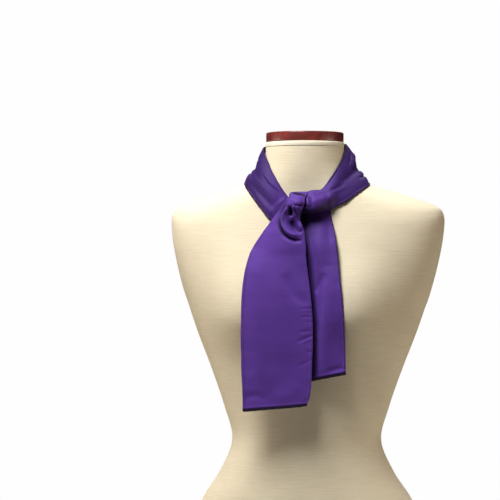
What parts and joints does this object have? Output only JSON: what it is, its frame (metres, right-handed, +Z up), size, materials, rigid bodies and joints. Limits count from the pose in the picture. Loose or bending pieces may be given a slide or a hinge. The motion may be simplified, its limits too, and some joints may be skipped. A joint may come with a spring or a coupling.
{
  "type": "silk scarf on a dress form",
  "caption": "Narrow silk scarf tied once at the neck of a limbless dress form, its ends hanging over the chest; it stands on the form's flat underside.",
  "frame": {"origin": "the middle of the dress form's flat underside", "axes": "+Z up, the form faces -Y, +X is to the right as seen from the front"},
  "size_m": [0.3956, 0.2477, 0.78],
  "materials": {
    "linen": "cream linen cover with fine slubs, matte",
    "cherry_wood": "red-brown stained wood under gloss lacquer",
    "silk": "purple silk with a soft satin sheen and a rolled hem"
  },
  "bodies": {
    "root": {"dress_form": "linen", "neck_cap": "cherry_wood", "scarf_band": "silk", "scarf_crossing": "silk", "scarf_turn": "silk", "scarf_core": "silk", "scarf_end_front": "silk", "scarf_end_behind": "silk"}
  },
  "joints": []
}
